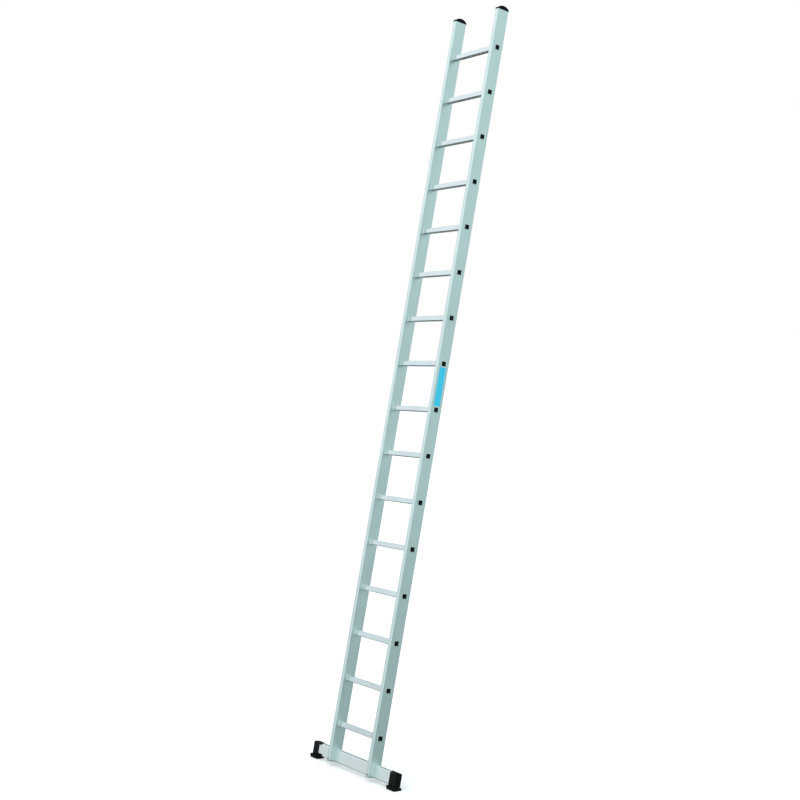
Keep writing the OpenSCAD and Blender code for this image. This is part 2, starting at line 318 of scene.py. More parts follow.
def finish_piece(name, bm, place, material, nodes, flat_angle=math.radians(32)):
    wires = [e for e in bm.edges if e.is_wire]
    bmesh.ops.delete(bm, geom=wires, context="EDGES")
    bmesh.ops.remove_doubles(bm, verts=bm.verts[:], dist=1e-6)
    bmesh.ops.recalc_face_normals(bm, faces=bm.faces[:])
    bm.transform(place)
    if bm.calc_volume(signed=True) < 0:
        bmesh.ops.reverse_faces(bm, faces=bm.faces[:])
    for face in bm.faces:
        face.smooth = True
    for edge in creases(bm, flat_angle):
        edge.smooth = False
    piece = loose_object(name, bm)
    piece.data.materials.append(material)
    shading = piece.modifiers.new("even_shading", "WEIGHTED_NORMAL")
    shading.keep_sharp = True
    shading.weight = 100
    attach(piece, BODY)
    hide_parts(*nodes)
    return piece


def merge(bm, other, place):
    """Adds other, moved to its place, to bm as a shape of its own."""
    other.transform(place)
    spare = bpy.data.meshes.new("spare")
    other.to_mesh(spare)
    other.free()
    bm.from_mesh(spare)
    bpy.data.meshes.remove(spare)


# ---------- frame pieces ----------


def rung_section(bm, sizes, grow=0.0):
    side = sizes.rung_size + 2 * grow
    return rounded_face(bm, side, side, sizes.rung_radius + grow, sizes.corner_steps)


def build_stile(sizes, side):
    """A notched tube with square holes for the rungs and a bolt hole in each lip."""
    x = side * STILE.middle.x
    bm = bmesh.new()
    tube(bm, STILE.size.x, STILE.size.y, sizes.stile_radius, sizes.stile_wall,
         STILE.size.z, sizes.corner_steps)
    bm.transform(Matrix.Translation((x, STILE.middle.y, STILE.low.z)))

    cutter = bmesh.new()
    notch = bmesh.new()
    bmesh.ops.create_cube(notch, size=1)
    gap = 0.2 * MM
    height = BAR.high.z - STILE.low.z + BAR.size.z
    notch_size = (2 * STILE.size.x, BAR.size.y + gap, height)
    notch_place = (x, BAR.middle.y + gap / 2, BAR.high.z - height / 2)
    merge(cutter, notch, Matrix.Translation(notch_place) @ Matrix.Diagonal((*notch_size, 1)))
    for k in range(len(RUNGS)):
        hole = bmesh.new()
        prism(hole, rung_section(hole, sizes, 0.1 * MM), 2 * STILE.size.x)
        hole.transform(ALONG_X)
        merge(cutter, hole, Matrix.Translation((x - STILE.size.x, 0, k * PITCH)))
    merge(cutter, bolt_bore(STILE.size.y * 1.2), Matrix.Translation((x, 0, BOLT_HEIGHT)))
    return carve(bm, cutter)


def bolt_bore(length):
    bore = bmesh.new()
    bmesh.ops.create_cone(
        bore, cap_ends=True, segments=24, radius1=3.3 * MM, radius2=3.3 * MM, depth=length)
    bore.transform(TO_FRONT)
    return bore


BOLT_HEIGHT = Box("crossbar_washers").middle.z


def rung_stations(sizes, half):
    """Half of a rung's outer shape: (distance from its middle, rise of the skin)."""
    flange = Box(RUNGS[0]).size.z / 2 - sizes.rung_size / 2
    end = half + sizes.flange_thickness
    inner = half - STILE.size.x
    rise, length = sizes.bead_rise, sizes.bead_length
    neck = [(0.0, 1.0), (0.28, 1.0), (0.5, 0.86), (0.72, 0.5), (0.92, 0.16), (1.15, 0.0)]
    bead = [(inner - share * length, rise * high) for share, high in neck]
    rim = [(half, 0.0), (half, flange), (end - 0.55 * MM, flange),
           (end - 0.15 * MM, flange - 0.2 * MM), (end, flange - 0.6 * MM)]
    return [*reversed(bead), (inner, 0.0), *rim, (end, -sizes.rung_wall)]


def build_rung(sizes):
    """A square tube with grooved treads, formed beads and rolled flanges."""
    bm = bmesh.new()
    face = rung_section(bm, sizes)
    pitch = (sizes.rung_size - 2 * sizes.rung_radius) / sizes.groove_count
    first = -(sizes.groove_count - 1) / 2
    grooves = [(first + k) * pitch for k in range(sizes.groove_count)]
    for groove in grooves:
        for edge in (-sizes.groove_width / 2, sizes.groove_width / 2):
            split_at(bm, bm.faces[:], (groove + edge, 0, 0), (1, 0, 0))
    rim = [e for e in bm.edges if e.is_boundary]
    spare = [e for e in bm.edges if not e.is_boundary]
    bmesh.ops.delete(bm, geom=bm.faces[:], context="FACES_ONLY")
    bmesh.ops.delete(bm, geom=[e for e in spare if e.is_valid], context="EDGES")

    half = rung_stations(sizes, STILE.high.x)
    stations = [(-z, rise) for z, rise in reversed(half)] + half
    first_ring = place_ring(bm, rim, 1.0, stations[0][0], sizes, stations[0][1])
    ring = first_ring
    rise = stations[0][1]
    for z, next_rise in stations[1:]:
        ring = next_ring(bm, ring, sizes, z, rise, next_rise)
        rise = next_rise
    bmesh.ops.bridge_loops(bm, edges=[*first_ring, *ring])

    inner = STILE.high.x - STILE.size.x - 1.15 * sizes.bead_length
    treads = [
        f for f in bm.faces
        if abs(f.calc_center_median().z) < MM and abs(f.normal.y) > 0.9
        and f.calc_area() > inner * sizes.groove_width
        and abs(f.calc_center_median().y) > sizes.rung_size / 2 - MM / 2
        and any(abs(f.calc_center_median().x - g) < MM / 4 for g in grooves)
    ]
    bmesh.ops.inset_individual(
        bm, faces=treads, thickness=0.3 * MM, depth=-sizes.groove_depth)
    return bm


def ring_verts(ring):
    return list({v for e in ring for v in e.verts})


def ring_scale(sizes, rise):
    return (sizes.rung_size / 2 + rise) / (sizes.rung_size / 2)


def place_ring(bm, ring, _, z, sizes, rise):
    share = ring_scale(sizes, rise)
    bmesh.ops.scale(bm, verts=ring_verts(ring), vec=(share, share, 1))
    bmesh.ops.translate(bm, verts=ring_verts(ring), vec=(0, 0, z))
    return ring


def next_ring(bm, ring, sizes, z, rise, next_rise):
    """Extrudes a ring of edges to the next station along the rung."""
    made = bmesh.ops.extrude_edge_only(bm, edges=ring)["geom"]
    new = [g for g in made if isinstance(g, bmesh.types.BMEdge)]
    verts = ring_verts(new)
    share = ring_scale(sizes, next_rise) / ring_scale(sizes, rise)
    bmesh.ops.scale(bm, verts=verts, vec=(share, share, 1))
    bmesh.ops.translate(bm, verts=verts, vec=(0, 0, z - verts[0].co.z))
    return new


def build_crossbar(sizes):
    bm = bmesh.new()
    tube(bm, BAR.size.y, BAR.size.z, sizes.bar_radius, sizes.bar_wall,
         BAR.size.x, sizes.corner_steps)
    bm.transform(ALONG_X @ Matrix.Translation((BAR.middle.y, BAR.middle.z, BAR.low.x)))
    cutter = bmesh.new()
    for _, side in SIDES:
        place = (side * STILE.middle.x, BAR.middle.y, BOLT_HEIGHT)
        merge(cutter, bolt_bore(2 * BAR.size.y), Matrix.Translation(place))
    return carve(bm, cutter)


# ---------- moulded pieces ----------


def build_rung_plugs(sizes, box):
    """The two plugs of one rung: a cup with a cushioned head at each end."""
    bm = bmesh.new()
    end = STILE.high.x + sizes.flange_thickness
    hole = sizes.rung_size - 2 * sizes.rung_wall
    radius = sizes.rung_radius - sizes.rung_wall
    shank = hole - 0.3 * MM
    for _, side in SIDES:
        plug = bmesh.new()
        face = rounded_face(plug, shank, shank, radius, sizes.corner_steps)
        depth = end - (box.size.x / 2 - 2 * MM - 13.9 * MM)
        top = prism(plug, face, depth)
        head = resize(plug, top, 0.7 * MM)
        head = draw_up(plug, head, 0.7 * MM)
        for narrower, rise in ((0.35, 0.35), (0.6, 0.3), (1.6, 0.35), (4.0, 0.2)):
            head = resize(plug, head, -narrower * MM)
            bmesh.ops.translate(plug, verts=list(head.verts), vec=(0, 0, rise * MM))
        cup(plug, 1.6 * MM, depth - 1.5 * MM)
        plug.transform(Matrix.Translation((0, 0, end - depth)))
        plug.transform(ALONG_X)
        merge(bm, plug, Matrix.Diagonal((side, 1, 1, 1)))
    return bm


def draw_up(bm, face, height):
    """Extrudes one face upwards and returns the moved face."""
    made = bmesh.ops.extrude_face_region(bm, geom=[face])["geom"]
    verts = [g for g in made if isinstance(g, bmesh.types.BMVert)]
    bmesh.ops.translate(bm, verts=verts, vec=(0, 0, height))
    if face.is_valid:
        bmesh.ops.delete(bm, geom=[face], context="FACES_ONLY")
    return [g for g in made if isinstance(g, bmesh.types.BMFace)][0]


def resize(bm, face, by):
    """Rings one face, centred on the Z axis, with a wider or narrower one in its plane."""
    wider = draw_up(bm, face, 0)
    share = [1 + by / max(v.co[i] for v in wider.verts) for i in range(2)]
    bmesh.ops.scale(bm, verts=list(wider.verts), vec=(*share, 1))
    return wider


def cup(bm, wall, depth):
    """Hollows a closed shape from its flat lower face."""
    bmesh.ops.recalc_face_normals(bm, faces=bm.faces[:])
    base = min(bm.faces, key=lambda f: f.calc_center_median().z)
    draw_up(bm, resize(bm, base, -wall), depth)


def build_top_cap(sizes, box):
    """A dome, arched from front to back, on a short rim, with a cupped insert."""
    half = box.size.y / 2
    rim = sizes.cap_rim
    rise = box.high.z - STILE.high.z - rim
    radius = (half * half + rise * rise) / (2 * rise)
    sweep = 2 * math.asin(half / radius)
    bm = bmesh.new()
    start = bm.verts.new((half, rim, 0))
    spun = bmesh.ops.spin(
        bm, geom=[start], cent=(0, rim + rise - radius, 0), axis=(0, 0, 1),
        angle=sweep, steps=28, dvec=(0, 0, 0))["geom_last"]
    last = next(g for g in spun if isinstance(g, bmesh.types.BMVert))
    low_back = bm.verts.new((half, 0, 0))
    low_front = bm.verts.new((-half, 0, 0))
    for pair in ((start, low_back), (low_back, low_front), (low_front, last)):
        bm.edges.new(pair)
    face = bmesh.ops.contextual_create(bm, geom=bm.edges[:])["faces"][0]
    prism(bm, face, box.size.x)
    bm.transform(Matrix.Translation((0, 0, -box.size.x / 2)))
    soften(bm, 2.2 * MM, steps=4, where=lambda e: min(v.co.y for v in e.verts) > rim / 2
           or abs(e.verts[0].co.y - e.verts[1].co.y) > rim / 2)
    bm.transform(ALONG_X)
    insert = bmesh.new()
    loose = sizes.stile_wall + 0.15 * MM
    face = rounded_face(insert, STILE.size.x - 2 * loose, STILE.size.y - 2 * loose,
                        sizes.stile_radius - sizes.stile_wall, sizes.corner_steps)
    depth = STILE.high.z - box.low.z
    prism(insert, face, depth + rim / 2)
    cup(insert, 2 * MM, depth * 0.9)
    merge(bm, insert, Matrix.Translation((0, 0, -depth)))
    bm.transform(Matrix.Translation((0, STILE.middle.y, 0)))
    return bm


def build_stile_end_plug(sizes, box):
    """A block inside the front lip, on a thin base that covers the lip's end."""
    bm = bmesh.new()
    face = rounded_face(bm, STILE.size.x, STILE.size.y, sizes.stile_radius, sizes.corner_steps)
    bm.transform(Matrix.Translation((0, STILE.middle.y, 0)))
    keep_front(bm, box.high.y)
    face = bm.faces[:][0]
    top = prism(bm, face, STILE.low.z - box.low.z)
    block = inset(bm, top, sizes.stile_wall + 0.15 * MM)
    back = max(v.co.y for v in block.verts)
    for v in block.verts:
        if v.co.y > back - MM / 100:
            v.co.y = box.high.y - 0.1 * MM
    draw_up(bm, block, box.high.z - STILE.low.z)
    soften(bm, 0.6 * MM, steps=2, where=lambda e: max(v.co.z for v in e.verts) < 0.1 * MM)
    return bm


def keep_front(bm, y):
    bmesh.ops.bisect_plane(
        bm, geom=bm.verts[:] + bm.edges[:] + bm.faces[:],
        plane_co=(0, y, 0), plane_no=(0, 1, 0), clear_outer=True)


# ---------- feet ----------


def build_foot_shell(sizes, box, side):
    """A ribbed cap over the crossbar's end, with two tongues on one face."""
    gap = 0.2 * MM
    grow = sizes.shell_wall + gap
    end = box.high.x if side > 0 else -box.low.x
    mouth = BAR.high.x - 58 * MM
    length = end - mouth
    bm = bmesh.new()
    face = rounded_face(
        bm, BAR.size.y + 2 * grow, BAR.size.z + 2 * grow, sizes.bar_radius + grow,
        sizes.corner_steps)
    top = prism(bm, face, length)
    socket = inset(bm, top, sizes.shell_wall)
    draw_up(bm, socket, -(length - sizes.shell_wall))

    # the tongues are drawn out of the mouth's rim, on the front or on the back
    gripped = 1 if side > 0 else -1
    strips = ((BAR.size.z / 2 - 8 * MM, 1, 28 * MM), (BAR.size.z / 2 - 14 * MM, -1, 48 * MM))
    for above, up, reach in strips:
        rim = [f for f in bm.faces if min(v.co.z for v in f.verts) > length - MM / 10]
        split_at(bm, rim, (0, up * above, 0), (0, 1, 0))
    rim = [f for f in bm.faces if min(v.co.z for v in f.verts) > length - MM / 10]
    split_at(bm, rim, (gripped * 8 * MM, 0, 0), (1, 0, 0))
    for above, up, reach in strips:
        strip = [
            f for f in bm.faces
            if min(v.co.z for v in f.verts) > length - MM / 10
            and max(v.co.z for v in f.verts) < length + MM / 10
            and f.calc_center_median().x * gripped > 8 * MM
            and f.calc_center_median().y * up > above]
        made = bmesh.ops.extrude_face_region(bm, geom=strip)["geom"]
        verts = [g for g in made if isinstance(g, bmesh.types.BMVert)]
        bmesh.ops.translate(bm, verts=verts, vec=(0, 0, reach))
        stale = [f for f in strip if f.is_valid]
        bmesh.ops.delete(bm, geom=stale, context="FACES_ONLY")

    add_ribs(bm, length, grow)
    bmesh.ops.recalc_face_normals(bm, faces=bm.faces[:])
    soften(bm, sizes.soft_edge, steps=3,
           where=lambda e: max(v.co.z for v in e.verts) < MM)
    # the section was drawn with the closed end at zero and the mouth up
    flip = Matrix.Diagonal((1, 1, -1, 1))
    bm.transform(Matrix.Translation((BAR.middle.y, BAR.middle.z, end)) @ flip)
    bm.transform(ALONG_X)
    if side < 0:
        bm.transform(Matrix.Diagonal((-1, 1, 1, 1)))
    return bm


def add_ribs(bm, length, grow):
    """Raises upright ribs on the shell's front and back faces."""
    count, width, rise = 4, 3 * MM, 0.8 * MM
    face_at = BAR.size.y / 2 + grow
    places = [(k + 1) * length / (count + 1) for k in range(count)]

    def plates():
        return [f for f in bm.faces
                if abs(abs(f.calc_center_median().x) - face_at) < MM / 20
                and f.calc_center_median().z < length]

    for z in places:
        for edge in (-width / 2, width / 2):
            split_at(bm, plates(), (0, 0, z + edge), (0, 0, 1))
    ribs = [f for f in plates() if any(abs(f.calc_center_median().z - z) < MM / 10 for z in places)]
    bmesh.ops.inset_individual(bm, faces=ribs, thickness=0.6 * MM, depth=rise)


def build_sole_pad(sizes, node, side):
    """A rubber block, level on the floor, whose top follows the shell's underside."""
    low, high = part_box(node)
    size, centre = high - low, (high + low) / 2
    bm = bmesh.new()
    face = rounded_face(bm, size.x, size.y, 7 * MM, sizes.corner_steps)
    prism(bm, face, 3 * size.z)
    soften(bm, 4 * MM, steps=4, where=lambda e: max(v.co.z for v in e.verts) < MM)
    count, width, depth = 5, 4 * MM, 3 * MM
    pitch = (size.x - 14 * MM) / count
    places = [k * pitch - (size.x - 14 * MM) / 2 for k in range(1, count)]

    def bottom():
        return [f for f in bm.faces if max(v.co.z for v in f.verts) < MM / 100]

    for x in places:
        for edge in (-width / 2, width / 2):
            split_at(bm, bottom(), (x + edge, 0, 0), (1, 0, 0))
    treads = [f for f in bottom() if any(abs(f.calc_center_median().x - x) < MM for x in places)]
    bmesh.ops.inset_individual(bm, faces=treads, thickness=0.5 * MM, depth=-depth)
    bm.transform(Matrix.Translation((centre.x, centre.y, low.z)))
    under = TO_ROW @ Vector((0, BAR.middle.y, BAR.low.z - 0.2 * MM - sizes.shell_wall))
    keep_below(bm, under, TO_ROW.to_3x3() @ Vector((0, 0, 1)))
    return bm


# ---------- fixings and label ----------


def turned(bm, outline, steps=40):
    """Spins an outline of (radius, height) points round Z into a closed ring or rod."""
    verts = [bm.verts.new((r, 0, z)) for r, z in outline]
    edges = [bm.edges.new(pair) for pair in zip(verts, verts[1:])]
    bmesh.ops.spin(
        bm, geom=verts + edges, cent=(0, 0, 0), axis=(0, 0, 1), dvec=(0, 0, 0),
        angle=math.tau, steps=steps, use_merge=True)
    bmesh.ops.remove_doubles(bm, verts=bm.verts[:], dist=1e-6)


def hex_prism(bm, across_flats, height):
    """A hexagon bar from Z = 0, with its corners eased at the top."""
    made = bmesh.ops.create_circle(
        bm, cap_ends=True, segments=6, radius=across_flats / math.sqrt(3))["verts"]
    top = prism(bm, made[0].link_faces[0], height)
    easing = [e for e in top.edges]
    bmesh.ops.bevel(
        bm, geom=easing, offset=0.5 * MM, segments=2, profile=0.5, affect="EDGES",
        material=-1)


def at_bolts(make):
    """One copy of a shape at each bolt, with its zero on the climbing face.

    It is turned so that a hexagon's corners point sideways.
    """
    bm = bmesh.new()
    turn = TO_FRONT @ Matrix.Rotation(math.radians(30), 4, "Z")
    for _, side in SIDES:
        place = Matrix.Translation((side * STILE.middle.x, STILE.low.y, BOLT_HEIGHT))
        merge(bm, make(), place @ turn)
    return bm


BOLTS = Box("crossbar_bolts")
NUTS = Box("crossbar_nuts")
WASHERS = Box("crossbar_washers")
WASHER = STILE.low.y - WASHERS.low.y


def one_bolt():
    bm = bmesh.new()
    head = STILE.low.y - BOLTS.low.y - WASHER
    hexagon = bmesh.new()
    hex_prism(hexagon, BOLTS.size.z, head)
    merge(bm, hexagon, Matrix.Translation((0, 0, WASHER)))
    radius, pitch, tail = 3 * MM, 1 * MM, 14 * MM
    length = BOLTS.high.y - STILE.low.y
    teeth = []
    for k in range(int(tail / pitch)):
        teeth.append((radius, -length + 0.6 * MM + k * pitch))
        teeth.append((radius - 0.45 * MM, -length + 0.6 * MM + (k + 0.5) * pitch))
    shank = bmesh.new()
    outline = [(0, -length), (radius - 0.5 * MM, -length), *teeth,
               (radius, -length + 0.6 * MM + tail), (radius, WASHER), (0, WASHER)]
    turned(shank, outline, steps=24)
    merge(bm, shank, Matrix.Identity(4))
    return bm


def two_washers():
    bm = bmesh.new()
    outer, bore, ease = 6 * MM, 3.3 * MM, 0.2 * MM
    for low in (0, -STILE.size.y - WASHER):
        ring = bmesh.new()
        high = low + WASHER
        turned(ring, [(bore, low), (outer - ease, low), (outer, low + ease),
                      (outer, high - ease), (outer - ease, high), (bore, high), (bore, low)])
        merge(bm, ring, Matrix.Identity(4))
    return bm


def one_nut():
    """A hexagon ring, bridged from its flats to its bore."""
    bm = bmesh.new()
    height = NUTS.size.y
    outer = bmesh.ops.create_circle(bm, segments=6, radius=NUTS.size.z / math.sqrt(3))
    edges = list({e for v in outer["verts"] for e in v.link_edges})
    bmesh.ops.subdivide_edges(bm, edges=edges, cuts=3)
    bmesh.ops.create_circle(bm, segments=24, radius=3.05 * MM)
    bmesh.ops.bridge_loops(bm, edges=bm.edges[:])
    made = bmesh.ops.extrude_face_region(bm, geom=bm.faces[:])["geom"]
    verts = [g for g in made if isinstance(g, bmesh.types.BMVert)]
    bmesh.ops.translate(bm, verts=verts, vec=(0, 0, height))
    bmesh.ops.recalc_face_normals(bm, faces=bm.faces[:])
    soften(bm, 0.35 * MM, steps=2, where=lambda e: e.verts[0].co.length > 3.5 * MM)
    bm.transform(Matrix.Translation((0, 0, STILE.low.y - NUTS.high.y)))
    return bm


def build_label(sizes, box):
    bm = bmesh.new()
    face = rounded_face(bm, box.size.y, box.size.z, 3 * MM, sizes.corner_steps)
    prism(bm, face, box.size.x)
    bm.transform(ALONG_X @ Matrix.Translation((box.middle.y, box.middle.z, box.low.x)))
    return bm


# ---------- finishes ----------


def add(tree, kind, links=None, **settings):
    """Adds a node, sets its settings, and fills or links its named inputs."""
    made = tree.nodes.new(kind)
    for key, value in settings.items():
        setattr(made, key, value)
    for key, value in (links or {}).items():
        if isinstance(value, bpy.types.NodeSocket):
            tree.links.new(value, made.inputs[key])
        else:
            made.inputs[key].default_value = value
    return made


def blank_material(name):
    """A material with its shader, and the ladder's own coordinates in metres."""
    material = bpy.data.materials.new(name)
    material.use_nodes = True
    tree = material.node_tree
    shader = tree.nodes["Principled BSDF"]
    coordinates = add(tree, "ShaderNodeTexCoord")
    ladder = add(tree, "ShaderNodeMapping", {"Vector": coordinates.outputs["Object"]},
                 vector_type="TEXTURE")
    ladder.inputs["Location"].default_value = TO_ROW.translation
    ladder.inputs["Rotation"].default_value = (-TILT, 0, 0)
    return material, tree, shader, ladder.outputs["Vector"]


def noise(tree, vector, scale, detail=2.0, roughness=0.5, stretch=(1, 1, 1)):
    """A noise whose features are about 1 / scale metres, drawn out by stretch."""
    drawn = add(tree, "ShaderNodeMapping", {"Vector": vector, "Scale": stretch})
    return add(tree, "ShaderNodeTexNoise", {
        "Vector": drawn.outputs["Vector"], "Scale": scale, "Detail": detail,
        "Roughness": roughness}).outputs["Fac"]


def spread(tree, value, low, high, to_low, to_high):
    return add(tree, "ShaderNodeMapRange", {
        "Value": value, "From Min": low, "From Max": high,
        "To Min": to_low, "To Max": to_high}).outputs["Result"]


def blend_colour(tree, share, first, second, kind="MIX"):
    made = add(tree, "ShaderNodeMix", data_type="RGBA", blend_type=kind)
    for index, value in ((0, share), (6, first), (7, second)):
        if isinstance(value, bpy.types.NodeSocket):
            tree.links.new(value, made.inputs[index])
        elif index == 0:
            made.inputs[index].default_value = value
        else:
            made.inputs[index].default_value = (*tuple(value)[:3], 1)
    return made.outputs[2]


def shaded(colour, share):
    return tuple(channel * share for channel in tuple(colour)[:3])


def aluminium(name, colour, grain, rough=0.34):
    """Anodised extrusion: die lines along the grain, soft clouding and fine scratches."""
    material, tree, shader, vector = blank_material(name)
    along = {"X": (0.012, 1, 1), "Z": (1, 1, 0.012)}[grain]
    lines = noise(tree, vector, 520, 3, 0.65, along)
    bands = noise(tree, vector, 90, 2, 0.5, along)
    clouds = noise(tree, vector, 5, 3, 0.6)
    specks = noise(tree, vector, 1400, 1, 0.5)
    scratches = noise(tree, vector, 260, 2, 0.7, (0.05, 1.0, 0.25))

    lined = blend_colour(tree, spread(tree, lines, 0.3, 0.7, 0, 1),
                         shaded(colour, 0.93), shaded(colour, 1.05))
    banded = blend_colour(tree, spread(tree, bands, 0.35, 0.65, 0, 0.35),
                          lined, shaded(colour, 0.97))
    clouded = blend_colour(tree, spread(tree, clouds, 0.35, 0.75, 0, 0.30),
                           banded, shaded(colour, 0.88))
    scratched = blend_colour(tree, spread(tree, scratches, 0.66, 0.72, 0, 0.22),
                             clouded, (0.9, 0.93, 0.94))
    tree.links.new(scratched, shader.inputs["Base Color"])
    shader.inputs["Metallic"].default_value = 1.0
    gloss = spread(tree, lines, 0.25, 0.75, rough - 0.04, rough + 0.06)
    dull = add(tree, "ShaderNodeMath", {0: gloss, 1: spread(tree, clouds, 0.3, 0.8, -0.02, 0.07)},
               operation="ADD")
    tree.links.new(dull.outputs[0], shader.inputs["Roughness"])
    height = add(tree, "ShaderNodeMath", {0: lines, 1: spread(tree, specks, 0, 1, 0, 0.35)},
                 operation="ADD")
    bump = add(tree, "ShaderNodeBump", {
        "Height": height.outputs[0], "Strength": 0.25, "Distance": 0.00004})
    tree.links.new(bump.outputs["Normal"], shader.inputs["Normal"])
    return material


def moulding(name, colour, rough, grain_scale, depth, dust):
    """Moulded plastic or rubber: a fine eroded grain, scuffs and a little dust."""
    material, tree, shader, vector = blank_material(name)
    grain = noise(tree, vector, grain_scale, 3, 0.6)
    patches = noise(tree, vector, 28, 3, 0.6)
    scuffs = noise(tree, vector, 160, 2, 0.7, (1, 0.15, 1))
    worn = blend_colour(tree, spread(tree, patches, 0.35, 0.75, 0, dust),
                        colour, (0.05, 0.057, 0.055))
    scuffed = blend_colour(tree, spread(tree, scuffs, 0.64, 0.72, 0, 0.08),
                           worn, (0.14, 0.15, 0.148))
    tree.links.new(scuffed, shader.inputs["Base Color"])
    shader.inputs["Metallic"].default_value = 0.0
    shader.inputs["Specular IOR Level"].default_value = 0.1
    tree.links.new(spread(tree, patches, 0.3, 0.75, rough - 0.06, rough + 0.1),
                   shader.inputs["Roughness"])
    bump = add(tree, "ShaderNodeBump", {"Height": grain, "Strength": 0.45, "Distance": depth})
    tree.links.new(bump.outputs["Normal"], shader.inputs["Normal"])
    return material


def plated_steel(name, colour):
    """Zinc plate: fine crystals and a faint warm bloom."""
    material, tree, shader, vector = blank_material(name)
    crystals = add(tree, "ShaderNodeTexVoronoi", {"Vector": vector, "Scale": 1500})
    bloom = noise(tree, vector, 120, 3, 0.6)
    base = blend_colour(tree, spread(tree, crystals.outputs["Distance"], 0, 0.8, 0, 0.5),
                        colour, shaded(colour, 0.75))
    tinted = blend_colour(tree, spread(tree, bloom, 0.4, 0.7, 0, 0.4),
                          base, (0.50, 0.46, 0.36))
    tree.links.new(tinted, shader.inputs["Base Color"])
    shader.inputs["Metallic"].default_value = 1.0
    tree.links.new(spread(tree, bloom, 0.3, 0.7, 0.26, 0.42), shader.inputs["Roughness"])
    bump = add(tree, "ShaderNodeBump", {
        "Height": crystals.outputs["Distance"], "Strength": 0.2, "Distance": 0.00003})
    tree.links.new(bump.outputs["Normal"], shader.inputs["Normal"])
    return material


def printed_film(name, colour, box):
    """Glossy film: a plain blue field inside a pale printed border."""
    material, tree, shader, vector = blank_material(name)
    centred = add(tree, "ShaderNodeVectorMath", {0: vector, 1: tuple(box.middle)},
                  operation="SUBTRACT")
    parts = add(tree, "ShaderNodeSeparateXYZ", {"Vector": centred.outputs[0]})
    edge = 0.8 * MM
    across = band(tree, parts.outputs["Y"], box.size.y / 2 - edge)
    upright = band(tree, parts.outputs["Z"], box.size.z / 2 - edge)
    border = add(tree, "ShaderNodeMath", {0: across, 1: upright}, operation="MAXIMUM")
    weave = noise(tree, vector, 900, 2, 0.5)
    fade = noise(tree, vector, 14, 3, 0.6)
    field = blend_colour(tree, spread(tree, fade, 0.3, 0.7, 0, 0.35),
                         colour, shaded(colour, 0.86))
    inked = blend_colour(tree, spread(tree, weave, 0.3, 0.7, 0, 0.12), field, (0.2, 0.68, 0.92))
    printed = blend_colour(tree, border.outputs[0], inked, (0.70, 0.84, 0.92))
    tree.links.new(printed, shader.inputs["Base Color"])
    # painted glow: a faint blue emission makes the label brighter than its lighting alone gives
    shader.inputs["Emission Color"].default_value = (0.0, 0.35, 1.0, 1)
    shader.inputs["Emission Strength"].default_value = 0.15
    shader.inputs["Coat Weight"].default_value = 0.4
    shader.inputs["Coat Roughness"].default_value = 0.12
    tree.links.new(spread(tree, fade, 0.3, 0.7, 0.30, 0.42), shader.inputs["Roughness"])
    bump = add(tree, "ShaderNodeBump", {"Height": weave, "Strength": 0.15, "Distance": 0.00003})
    tree.links.new(bump.outputs["Normal"], shader.inputs["Normal"])
    return material


def band(tree, value, limit):
    """1 where the value lies further from zero than the limit, and 0 inside it."""
    away = add(tree, "ShaderNodeMath", {0: value}, operation="ABSOLUTE")
    return add(tree, "ShaderNodeMath", {0: away.outputs[0], 1: limit},
               operation="GREATER_THAN").outputs[0]


def finish(name):
    """One of the ladder's finishes, made the first time that it is asked for.

    The name is its own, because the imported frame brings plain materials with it
    that carry the names of the slots.
    """
    name = f"ladder_{name}"
    if name in bpy.data.materials:
        return bpy.data.materials[name]
    tint = bpy.context.scene.ladder_finishes
    makers = {
        "ladder_stile_aluminium": lambda: aluminium(name, tint.stile_colour, "Z"),
        "ladder_rung_aluminium": lambda: aluminium(name, tint.rung_colour, "X", 0.27),
        "ladder_crossbar_aluminium": lambda: aluminium(name, tint.bar_colour, "X", 0.44),
        "ladder_black_plastic": lambda: moulding(name, tint.plastic_colour, 0.42, 1700, 0.00006, 0.06),
        "ladder_foot_plastic": lambda: moulding(name, tint.plastic_colour, 0.44, 1300, 0.00010, 0.08),
        "ladder_sole_rubber": lambda: moulding(name, tint.rubber_colour, 0.70, 900, 0.00016, 0.20),
        "ladder_zinc_plate": lambda: plated_steel(name, tint.steel_colour),
        "ladder_label_film": lambda: printed_film(name, tint.label_colour, Box("label")),
    }
    return makers[name]()


# ---------- operators ----------


class LADDER_OT_stiles(Operator):
    """Build the two stiles"""

    bl_idname = "ladder.stiles"
    bl_label = "Stiles"

    def execute(self, context):
        for word, side in SIDES:
            finish_piece(f"{word}_stile_tube", build_stile(context.scene.ladder_sizes, side),
                         TO_ROW, finish("stile_aluminium"),
                         [f"stile_{word}"])
        return {"FINISHED"}


class LADDER_OT_rungs(Operator):
    """Build the rungs"""

    bl_idname = "ladder.rungs"
    bl_label = "Rungs"

    def execute(self, context):
        for k, node in enumerate(RUNGS):
            place = TO_ROW @ Matrix.Translation((0, 0, k * PITCH)) @ ALONG_X
            finish_piece(f"{node}_tube", build_rung(context.scene.ladder_sizes), place,
                         finish("rung_aluminium"), [node])
        return {"FINISHED"}


class LADDER_OT_rung_plugs(Operator):
    """Build the plugs in the rung ends"""

    bl_idname = "ladder.rung_plugs"
    bl_label = "Rung plugs"

    def execute(self, context):
        for k, rung in enumerate(RUNGS):
            node = rung.replace("rung_", "rung_plugs_")
            place = TO_ROW @ Matrix.Translation((0, 0, k * PITCH))
            plugs = build_rung_plugs(context.scene.ladder_sizes, Box(node))
            finish_piece(f"{node}_moulded", plugs, place, finish("black_plastic"),
                         [node])
        return {"FINISHED"}


